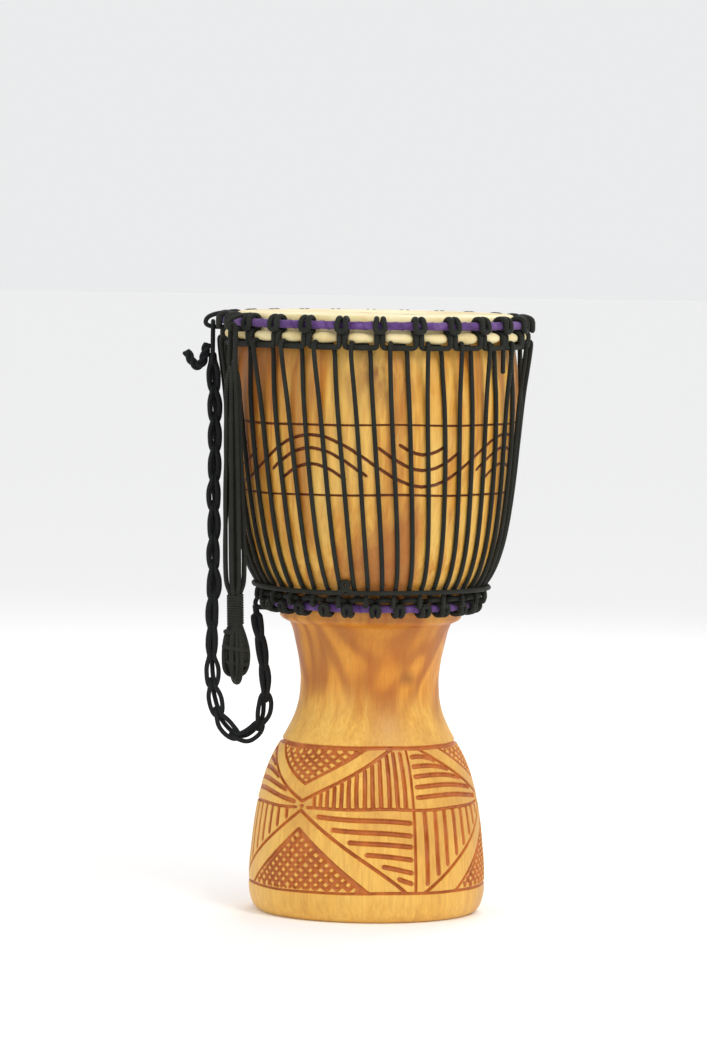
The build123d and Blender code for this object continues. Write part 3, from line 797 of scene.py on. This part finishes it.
def foot_cuts():
    """The foot's carving about one crossing: two bands that cross, ribbed and hatched fields between."""
    draw = random.Random(3)
    cuts = []

    def at(u, z):
        return (u * FOOT_MM, z)

    for z, width, depth in ((FOOT_HIGH, 2.4, 2.4), (FOOT_LOW, 1.6, 1.8)):
        cuts.append(Cut([at(u, z) for u in range(-60, 61, 5)], width, depth, (False, False)))
    upper_in, upper_out = (136.0, 33.0), (119.0, 50.0)      # height at the crossing, angle at the top
    lower_in, lower_out = (92.0, 35.0), (110.0, 54.0)
    top, bottom = FOOT_HIGH - 1.5, FOOT_LOW + 1.5
    for side in (-1, 1):
        for (z, u), edge, deep in ((upper_in, top, 1.7), (upper_out, top, 2.0), (lower_in, bottom, 1.7),
                                   (lower_out, bottom, 2.0)):
            points = [at(side * u * s, z + (edge - z) * s) for s in np.linspace(0, 1, 9)]
            cuts.append(Cut(points, 2.0, deep + 0.4, (False, False)))
    cuts.append(Cut([at(-1.5, 114.4), at(0, 114.2), at(1.5, 114.4)], 2.0, 2.0))
    for side in (-1, 1):
        cuts.append(Cut([at(side * u, FOOT_MID + 1.0 - 0.03 * u) for u in (2.5, 10, 25, 40, 55, 60)],
                        1.7, 2.0, (True, False)))
    cuts.append(Cut([at(60.0, z) for z in (bottom, 60, 90, 111, 130, 150, top)], 1.8, 2.1, (False, False)))

    # Upper right of the crossing: upright ribs, closer together near the crossing.
    u, step = 7.5, 3.3
    while u < 58.0:
        high = min(top - 1.5, upper_out[0] + (top - upper_out[0]) * u / upper_out[1] - 1.2)
        cuts.append(tapered(at(u - 0.5, high), at(u, FOOT_MID + 2.2), 2.1 + 0.012 * u, 2.5,
                            draw.uniform(-0.5, 0.5), (True, False)))
        u += step
        step = min(4.5, step + 0.14)
    # Lower right: cuts that run round, a little downhill.
    for z in (104.5, 92.5, 80.5, 68.0, 56.0, 44.5):
        start = (lower_out[0] - z + 5.5) / (lower_out[0] - bottom) * lower_out[1] + 1.2
        cuts.append(tapered(at(start, z), at(59.0, z - 6.0 + draw.uniform(-0.8, 0.8)), 2.8, 2.5,
                            draw.uniform(-0.9, 0.3)))
    # Upper left: cuts that run round.
    for z in (121.5, 131.5, 141.5, 151.0, 160.0):
        start = max(4.0, (z - 3.0 - upper_out[0]) / (top - upper_out[0]) * upper_out[1] + 2.6)
        cuts.append(tapered(at(-58.3, z + 2.0), at(-start, z - 3.0 + draw.uniform(-0.8, 0.8)), 2.6, 2.5,
                            3.0 + draw.uniform(-0.5, 0.9)))
    # Lower left: upright ribs that shorten towards the crossing.
    u = 53.8
    while u > 9.0:
        low = max(bottom + 1.5, lower_out[0] - (lower_out[0] - bottom) * u / lower_out[1] + 4.5)
        cuts.append(tapered(at(-u, FOOT_MID - 2.4), at(-u + 0.3, low), 2.8, 2.5,
                            draw.uniform(-0.5, 0.5), (False, True)))
        u -= 6.3 + draw.uniform(-0.4, 0.3)
    upper = [at(0, upper_in[0] + 1.6), at(upper_in[1] - 1.4, top - 0.4), at(-upper_in[1] + 1.4, top - 0.4)]
    lower = [at(-lower_in[1] + 1.6, bottom + 0.4), at(lower_in[1] - 1.6, bottom + 0.4),
             at(0, lower_in[0] - 1.8)]
    cuts += hatched(upper, (31.0, -29.0), 6.7, 2.1, 2.0, draw)
    cuts += hatched(lower, (46.0, -42.0), 7.0, 2.4, 2.2, draw)
    return cuts


BOWL_MM = 2.46
BOWL_LINES = (424.0, 493.0)
WAVE_MEAN, WAVE_RISE = 457.7, 25.5


def bowl_cuts():
    """Two level lines round the bowl with a wave between them."""
    draw = random.Random(8)
    cuts = []
    for z in BOWL_LINES:
        cuts.append(Cut([(u * BOWL_MM, z) for u in range(-45, 46, 5)], 1.35, 1.6, (False, False), 0.2))

    def wave(start, end, inward=0.0):
        """Part of the wave, or of a line beside it, between two angles from a crest."""
        us = np.linspace(start, end, max(4, int((end - start) / 2.5)))
        slope = WAVE_RISE * math.radians(4) / BOWL_MM * np.sin(np.radians(4 * us))
        zs = WAVE_MEAN + WAVE_RISE * np.cos(np.radians(4 * us)) + inward * np.sqrt(1 + slope ** 2)
        points = [(u * BOWL_MM, z + draw.uniform(-0.2, 0.2)) for u, z in zip(us, zs)]
        return Cut(points, 1.9, 1.9, (start > -44, end < 44), 0.3)

    # One wave runs right round; two shorter lines lie inside each crest and two inside each trough.
    return cuts + [wave(*line) for line in (
        (-45.0, -23.5), (-24.5, 27.0), (26.2, 45.0), (-19.0, 22.5, -13.0), (-13.5, 14.0, -28.5),
        (26.0, 45.0, 16.0), (-45.0, -27.5, 16.0), (34.5, 45.0, 31.5), (-45.0, -35.0, 31.5))]


def build_shell():
    """The carved shell: plain rings joined to the two carved bands, closed inside and at both rims."""
    parts = [(*carved_band(FOOT_BAND[0], FOOT_BAND[1], 3, CROSS_AT, FOOT_MM, foot_cuts(), 4.5, 21), 0.0),
             (*carved_band(BOWL_BAND[0], BOWL_BAND[1], 4, WAVE_AT, BOWL_MM, bowl_cuts(), 5.5, 22), 1.0)]

    def outside_at(heights):
        return [(float(outer_radius(z)), z) for z in heights]

    def outside_between(z0, z1, step):
        return outside_at(np.linspace(z0, z1, max(1, int(round((z1 - z0) / step))) + 1))

    below = [(96.0, 0.0), (101.0, 0.0), (106.2, 0.1)] + outside_between(0.6, FOOT_BAND[0], 2.2)
    ledge = {z for _, z in OUTSIDE if 284.0 <= z <= 337.5} | {292.0, 295.5, 302.2, 311.0, 320.5, 326.0, 333.0}
    waist = outside_between(FOOT_BAND[1], 282.0, 4.0) + outside_at(sorted(ledge))
    waist += outside_between(342.0, BOWL_BAND[0], 5.0)
    rim = outside_between(BOWL_BAND[1], 594.05, 5.0)
    for k in range(1, 6):
        a = math.radians(18.0 * k)
        rim.append((EDGE_R - RIM_ROUND + RIM_ROUND * math.cos(a), RIM_Z - RIM_ROUND + RIM_ROUND * math.sin(a)))
    rim += [(132.4, RIM_Z), (130.2, 594.0)] + [(float(inner_radius(z)), z) for z in np.linspace(590.0, 0.0, 60)]
    turn = np.radians(np.arange(AROUND) * 360.0 / AROUND)
    for profile in (below, waist, rim):
        verts = np.concatenate([ring_points(turn, r, z) for r, z in profile])
        parts.append((verts, grid_faces(len(profile), AROUND), np.zeros(len(verts)), 0.0))
    verts, faces, deep, burn = [], [], [], []
    for v, f, d, b in parts:
        count = sum(map(len, verts))
        faces += [tuple(int(i) + count for i in face) for face in f]
        verts.append(v)
        deep.append(d)
        burn.append(np.full(len(v), b))
    # The value cut, a cut's depth, darkens the wood towards each groove's spine: the cut wood's stain and
    # painted shade.
    obj = mesh_object("carved_shell", np.concatenate(verts), faces,
                      cut=np.clip(np.concatenate(deep) / 2.0, 0, 1), burn=np.concatenate(burn))
    weld(obj.data, 0.02, 0.005)
    obj.data.set_sharp_from_angle(angle=math.radians(38))
    piece(obj, DRUM, WOOD, "shell")


build_shell()


# ---- Hitches' places, a little uneven --------------------------------------------------------
place_draw = random.Random(17)
CROWN_AT, BASE_AT = [], []
for i in range(LOOPS):
    nominal = FIRST_LOOP + i * PITCH
    folded = (nominal + 180.0) % 360.0 - 180.0
    near_tie = min(abs(folded - STRAP_ANGLE), abs(folded - HANK_ANGLE)) < PITCH
    top_shift, foot_shift = place_draw.uniform(-0.7, 0.7), place_draw.uniform(-1.1, 1.1)
    CROWN_AT.append(nominal + (0.0 if near_tie else top_shift))
    BASE_AT.append(nominal + (0.0 if near_tie else foot_shift))


def around(values, i):
    """A place by its number, carried on past a full turn."""
    return values[i % LOOPS] + 360.0 * (i // LOOPS)


def middle_of(values, i):
    """Middle of the loop between hitch i and the next."""
    return (around(values, i) + around(values, i + 1)) / 2


# ---- Head -----------------------------------------------------------------------------------
SKIN_BEND, SKIN_UNDER = 5.9, 598.62
CLOTH_STEPS = 14               # steps to each turn of the cloth


def build_head():
    """Goatskin drawn over the edge, with a lump of skin round the flesh ring between each two hitches."""
    steps = LOOPS * 24
    turn = np.radians(np.arange(steps) * 360.0 / steps)
    crown = np.array([around(CROWN_AT, i) for i in range(LOOPS + 1)]) - CROWN_AT[0]
    rel = (np.arange(steps) * 360.0 / steps - CROWN_AT[0]) % 360.0
    k = np.searchsorted(crown, rel, side="right") - 1
    t = (rel - crown[k]) / (crown[k + 1] - crown[k])       # 0 at a hitch, 1 at the next
    x = np.abs(2 * t - 1)                                  # 0 at a lump's middle, 1 at a hitch
    draw = random.Random(29)
    size = np.array([draw.uniform(-0.35, 0.35) for _ in range(LOOPS)])[k]
    lean = np.array([draw.uniform(-0.5, 0.5) for _ in range(LOOPS)])[k]
    lump = np.clip(1 - (x / 0.80) ** 2.6, 0, 1) ** 0.5
    roll_r = 1.9 + (3.4 + size) * lump
    roll_z = FLESH_Z + 0.5 * lump + lean * lump
    profile = [(r, HEIGHT - 0.25 * (1 - (r / 133.0) ** 2))
               for r in (0.0, 20.0, 50.0, 80.0, 105.0, 122.0, 130.0)]
    for deg in range(90, -1, -15):
        a = math.radians(deg)
        profile.append((EDGE_R + 1.45 - SKIN_BEND + SKIN_BEND * math.cos(a),
                        HEIGHT - SKIN_BEND + SKIN_BEND * math.sin(a)))
    pull = 0.35 * np.cos(2 * math.pi * t)
    profile += [(EDGE_R + 1.5, 590.0), (EDGE_R + 1.6 + pull * 0.6, 586.0), (EDGE_R + 2.2 + 0.8 * lump, 583.2)]
    first_of_roll = len(profile)
    for deg in range(125, -200, -25):
        a = math.radians(deg)
        r = roll_r * (1.0 + 0.08 * np.sin(turn * 31 + deg))
        profile.append((FLESH_R + 0.5 * lump + r * math.cos(a), roll_z + r * math.sin(a)))
    profile += [(EDGE_R + 0.5, 577.2), (EDGE_R + 0.1, 582.0), (EDGE_R + 0.1, 592.0),
                (EDGE_R - 3.5, SKIN_UNDER), (60.0, SKIN_UNDER), (0.0, SKIN_UNDER)]
    # Painted shade where the roll thins next to each hitch, kept in the value roll.
    crease_shade_mask = np.clip((x - 0.62) / 0.16, 0, 1)
    rows = len(profile)
    obj = mesh_object("skin_head", np.concatenate([ring_points(turn, r, z) for r, z in profile]),
                      grid_faces(rows, steps, flip=True),
                      roll=np.concatenate([crease_shade_mask * (first_of_roll <= i < rows - 5) for i in range(rows)]))
    weld(obj.data, 0.01)
    piece(obj, DRUM, SKIN, "drumhead")


build_head()


# ---- Rings with their cloth ------------------------------------------------------------------
def cloth_ring(name, radius, z, turns, seed, node):
    """A strip of cloth wound round a ring: each turn overlaps the last in a low ridge."""
    draw = random.Random(seed)
    steps, sides = turns * CLOTH_STEPS, 20
    tilt = [draw.uniform(0.7, 1.3) for _ in range(turns)]
    verts, faces, fold = [], [], []
    for i in range(steps):
        k = (i + 1) % steps
        for j in range(sides):
            m = (j + 1) % sides
            s = i / CLOTH_STEPS + j / sides
            part, slant = s % 1.0, tilt[int(s) % turns]
            r = CLOTH_R - 0.75 + 0.75 * (part ** 3 * slant) + 0.12 * math.sin(i * 1.9 + j * 2.3 * slant)
            a, b = 2 * math.pi * i / steps, 2 * math.pi * (j / sides)
            out = radius + r * math.cos(b)
            verts.append((out * math.sin(a), -out * math.cos(a), z + r * math.sin(b)))
            # The value is painted shade, darkest just under the edge of the turn before.
            fold.append(max(0.0, 1 - part * 5))
            faces.append((i * sides + j, k * sides + j, k * sides + m, i * sides + m))
    piece(mesh_object(name, verts, faces, fold=fold), DRUM, CLOTH, node)


cloth_ring("crown_cloth", CROWN_R, CROWN_Z, 78, 31, "crown_ring_cloth")
cloth_ring("base_cloth", BASE_R, BASE_Z, 56, 37, "base_ring_cloth")

# ---- Ropes on the rings ----------------------------------------------------------------------
HALF_STRAND = 2.7
ROUND_RING = CLOTH_R + ROPE_R + 0.15
NECK, BIGHT_OUT = 3.0, 7.3
CROWN_RUN, BASE_RUN = (151.0, 569.2), (109.9, 320.3)
LEG = PITCH / 4
FOOT_LEG = 2.4
BEHIND_R, OVER_Z = 145.6, 571.6
FRONT_R, HOOK_Z = 156.1, 575.3
LEG_HEIGHTS = [520.0, 480.0, 440.0, 405.0, 375.0, 352.0, 337.0]
LEG_TOP_Z, LEG_FOOT_Z = 560.0, 337.0
LOOP_ROPE_R = 2.75             # the loops' rope looks a little fuller where it is squeezed
OFF_WOOD = 0.7                 # between the tension rope and the shell


def beside(angle, r, z, aside):
    """A point at a ring's angle, moved sideways by a distance."""
    a = math.radians(angle)
    return turned(angle, r, z) + Vector((math.cos(a), math.sin(a), 0)) * aside


def level_beside(angle, away, r, z):
    """A point on the level line that touches a circle at an angle, some degrees away."""
    return turned(angle + away, r / math.cos(math.radians(away)), z)


def mirrored(angle, half):
    """A path from half of its points, each on both sides of an angle."""
    return ([beside(angle, r, z, -aside) for r, z, aside in half]
            + [beside(angle, r, z, aside) for r, z, aside in reversed(half)])


def build_loops(name, node, places, ring, towards, drop, spread, run, away, lead=()):
    """One rope round a ring, with a cow hitch at each place and a loop between each two.

    A hitch goes up behind the ring, over it, down the front, across and back the same way.
    """
    ring_r, ring_z = ring
    behind, front, bar = spread
    near, far = ring_z - towards * ROUND_RING, ring_z + towards * ROUND_RING
    half = [*lead, (ring_r + NECK, near, HALF_STRAND), (ring_r - ROUND_RING, near, HALF_STRAND),
            (ring_r - ROUND_RING, far, behind), (ring_r + BIGHT_OUT, far, front),
            (ring_r + BIGHT_OUT, ring_z - towards * drop, bar)]
    path = []
    for i in range(LOOPS):
        path.append(level_beside(middle_of(places, i - 1), away, *run))
        path += mirrored(around(places, i), half)
        path.append(level_beside(middle_of(places, i), -away, *run))
    rope_piece(name, DRUM, CORD, node, path, LOOP_ROPE_R, 10, 1.5, True)


def over_wood(z):
    """Radius of a rope's centre line where it lies along the shell."""
    slope = float(outer_radius(z + 4) - outer_radius(z - 4)) / 8
    return float(outer_radius(z)) + (ROPE_R + OFF_WOOD) * math.hypot(1.0, slope)


def build_verticals():
    """The tension rope: down from each upper loop, round a lower one and up to the next."""
    draw = random.Random(43)
    path = []
    for i in range(LOOPS):
        middle, here = middle_of(CROWN_AT, i), middle_of(CROWN_AT, i + 1)
        foot = middle_of(BASE_AT, i + 1)
        for top, low in ((middle + LEG, foot - LEG), (here - LEG, foot + LEG)):
            bow, sway = draw.uniform(-0.55, 0.55), draw.uniform(-0.2, 0.2)

            def lie(z):
                s = (LEG_TOP_Z - z) / (LEG_TOP_Z - LEG_FOOT_Z)
                return top + (low - top) * s + bow * math.sin(math.pi * s) + sway * math.sin(2 * math.pi * s)
            if low < foot:
                path += [turned(middle, BEHIND_R, OVER_Z), level_beside(middle, LEG, BEHIND_R, OVER_Z)]
                path += [turned(lie(z), over_wood(z), z) for z in [544.0] + LEG_HEIGHTS]
                path += [turned(foot - LEG + 0.3, 110.8, 326.3), turned(foot - FOOT_LEG, 101.3, 320.4),
                         turned(foot + FOOT_LEG, 101.3, 320.4), turned(foot + FOOT_LEG, 114.8, 311.0),
                         turned(foot + FOOT_LEG, 114.8, 322.0), turned(foot + LEG - 0.2, 111.4, 326.8)]
            else:
                path += [turned(lie(z), over_wood(z), z) for z in reversed(LEG_HEIGHTS[1:])]
                path += [turned(lie(520.0), 149.4, 520.0), turned(lie(545.0), 153.0, 545.0),
                         turned(top, FRONT_R - 0.3, 566.0), turned(top, FRONT_R, HOOK_Z),
                         level_beside(here, -2.6, BEHIND_R, OVER_Z)]
    rope_piece("tension_lines", DRUM, CORD, "tension_rope", path, ROPE_R, 8, 2.2, True)


build_loops("crown_loops", "crown_loop_rope", CROWN_AT, (CROWN_R, CROWN_Z), 1, 5.6, (3.1, 3.2, 5.6),
            CROWN_RUN, 3.0, [(CROWN_R + 2.2, CROWN_RUN[1] + 0.2, HALF_STRAND + 0.3),
                             (CROWN_R + NECK, CROWN_RUN[1] + 5.0, HALF_STRAND)])
build_loops("base_loops", "base_loop_rope", BASE_AT, (BASE_R, BASE_Z), -1, 2.5, (2.7, 2.7, 4.4),
            BASE_RUN, 3.6)
build_verticals()


# ---- Ties, tail and knots --------------------------------------------------------------------
def tie(name, material, node, angle, ring_r, ring_z, outside):
    """A tie round a ring: behind it, over it, down its front and out to what hangs from it."""
    under, over = ring_z - ROUND_RING, ring_z + ROUND_RING
    corners = [(ring_r - ROUND_RING, under), (ring_r - ROUND_RING, over), (ring_r + ROUND_RING, over),
               *((r, under + dz) for r, dz in outside)]
    rope_piece(name, DRUM, material, node, [turned(angle, r, z) for r, z in corners], closed=True)


TIE_OUT = 2 * ROPE_R + 0.3 + 2.5
for name, material, node, angle, radius in (
        ("hank_ring_tie", CORD, "hank_tie", HANK_ANGLE, HANK_R),
        ("strap_ring_tie", BLACK_CORD, "strap_tie_top", STRAP_ANGLE, STRAP_TIE_R)):
    tie(name, material, node, angle, CROWN_R, CROWN_Z, [(radius + TIE_OUT, 4 * ROPE_R), (radius + TIE_OUT, 0)])
BASE_OUT = BASE_R + ROUND_RING
tie("strap_foot_tie", BLACK_CORD, "strap_tie_base", STRAP_ANGLE, BASE_R, BASE_Z,
    [(BASE_OUT + 7.5, 5.5), (BASE_OUT + 5.5, -1.5)])

IN_TIE = CROWN_Z - ROUND_RING + 2 * ROPE_R      # what hangs in a tie lies on its lower turn
for name, body, material, node, angle, radius, sides in (
        ("strap_top_link", STRAP, BLACK_CORD, "strap_link", STRAP_ANGLE, STRAP_TIE_R,
         [(553.0, 4.6), (566.0, 5.6), (IN_TIE + 0.9, 7.0)]),
        ("hank_top_hanger", HANK, CORD, "hank_hanger", HANK_ANGLE, HANK_R,
         [(549.0, 5.0), (570.0, 5.3), (IN_TIE + 0.3, 5.3)])):
    rope_piece(name, body, material, node, mirrored(angle, [(radius, z, aside) for z, aside in sides]))

# A thinner cord wound round the hank's neck.
TURNS, NECK_LOW, NECK_HIGH, BINDING_R, BINDING_CORD_R = 12, 292.0, 322.0, 7.4, 1.35
rope_piece("hank_neck_binding", HANK, CORD, "hank_binding",
           [hank_at(30.0 * i, BINDING_R, NECK_LOW + (NECK_HIGH - NECK_LOW) * i / (TURNS * 12))
            for i in range(TURNS * 12 + 1)], BINDING_CORD_R, 10)


def strand_twist(points, radius, count, apart, lay):
    """Strands twisted round a line."""
    p, t, n, b = rings_along(bspline(points, 1.0))
    tubes = Tubes()
    for k in range(count):
        a = 2 * math.pi * (distances(p) / lay + k / count)
        q = p + (n * np.cos(a)[:, None] + b * np.sin(a)[:, None]) * apart
        tubes.add([Vector(v) for v in q], radius)
    return tubes


TAIL_ROUTE = [(168.6, 562.0), (170.4, 553.6), (172.6, 546.4), (177.4, 543.6), (182.0, 547.6), (186.0, 555.0)]
tail = strand_twist([turned(STRAP_ANGLE, r, z) for r, z in TAIL_ROUTE], 2.35, 3, 2.5, 26.0)
piece(tail.object("strap_end"), STRAP, BLACK_CORD, "strap_tail")

# The rope's tail wound once round the tension ropes, and its knot.
rope_piece("tail_round_lines", DRUM, CORD, "tail_wrap",
           [turned(angle, 117.8 + 0.25 * math.sin(math.radians(angle) * 26),
                   327.5 + 0.5 * math.sin(math.radians(angle * 3))) for angle in np.arange(120) * 3.0],
           ROPE_R, 10, 2.0, True)
KNOT_ANGLE, KNOT_R, KNOT_Z = -12.4, 119.6, 334.8
rope_piece("tail_knot_turns", DRUM, CORD, "tail_knot",
           [beside(KNOT_ANGLE, KNOT_R + dr, KNOT_Z + dz, dx) for dx, dz, dr in [
               (-7.5, -7.0, -1.0), (-3.0, -5.5, 0.6), (2.6, -2.5, 1.4), (3.4, 2.4, 0.8), (-1.0, 4.0, -0.4),
               (-3.8, 0.8, -0.4), (-1.6, -3.6, 1.6), (3.0, -4.6, 0.8), (7.0, -7.2, -1.0)]], spacing=1.0)
line = bspline([turned(56.9, 150.6, z) for z in (570.5, 562.0, 555.0, 548.0)], 1.0)
swell = [ROPE_R * (1.0 + 0.45 * math.exp(-((k - 3) / 2.6) ** 2)) for k in range(len(line))]
rope_piece("loop_rope_end", DRUM, CORD, "crown_rope_tail", line, swell, spacing=None)

# ---- Floor and light -------------------------------------------------------------------------
floor_material = Nodes("floor")
fine_grain = floor_material.noise(floor_material.coordinates(), 40.0, 4.0, 0.6)
tone = floor_material.ramp(fine_grain, [(0.3, 249, 249, 248), (0.7, 252, 252, 251)])
floor_material.finish(tone, 0.85, None, Specular_IOR_Level=0.1, Emission_Strength=0.06)
floor_material.shader.inputs["Emission Color"].default_value = (1.0, 1.0, 1.0, 1.0)
floor = mesh_object("floor", [(-30000, -30000, 0), (30000, -30000, 0), (30000, 30000, 0), (-30000, 30000, 0)],
                    [(0, 1, 2, 3)], smooth=False)
floor.data.materials.append(floor_material.material)

world = bpy.data.worlds.new("world")
bpy.context.scene.world = world
world.use_nodes = True
backdrop = world.node_tree.nodes["Background"]
backdrop.inputs[0].default_value = (0.985, 0.99, 1.0, 1.0)
backdrop.inputs[1].default_value = 0.84


def area_light(name, place, aim, size, power, colour=(1.0, 1.0, 1.0)):
    data = bpy.data.lights.new(name, "AREA")
    data.shape, data.size, data.energy, data.color = "DISK", size, power, colour
    lamp = bpy.data.objects.new(name, data)
    bpy.context.scene.collection.objects.link(lamp)
    lamp.location = place
    lamp.rotation_mode = "QUATERNION"
    lamp.rotation_quaternion = (Vector(aim) - Vector(place)).to_track_quat("-Z", "Y")


area_light("key", (1.5, -2.4, 2.7), (0, 0, 0.3), 1.3, 50.0, (1.0, 0.97, 0.92))
area_light("fill", (-2.4, -1.8, 1.4), (0, 0, 0.3), 2.0, 6.0, (0.95, 0.97, 1.0))
area_light("back", (0.6, 2.4, 2.2), (0, 0, 0.4), 1.6, 26.0)
bpy.context.scene.view_settings.view_transform = "Standard"
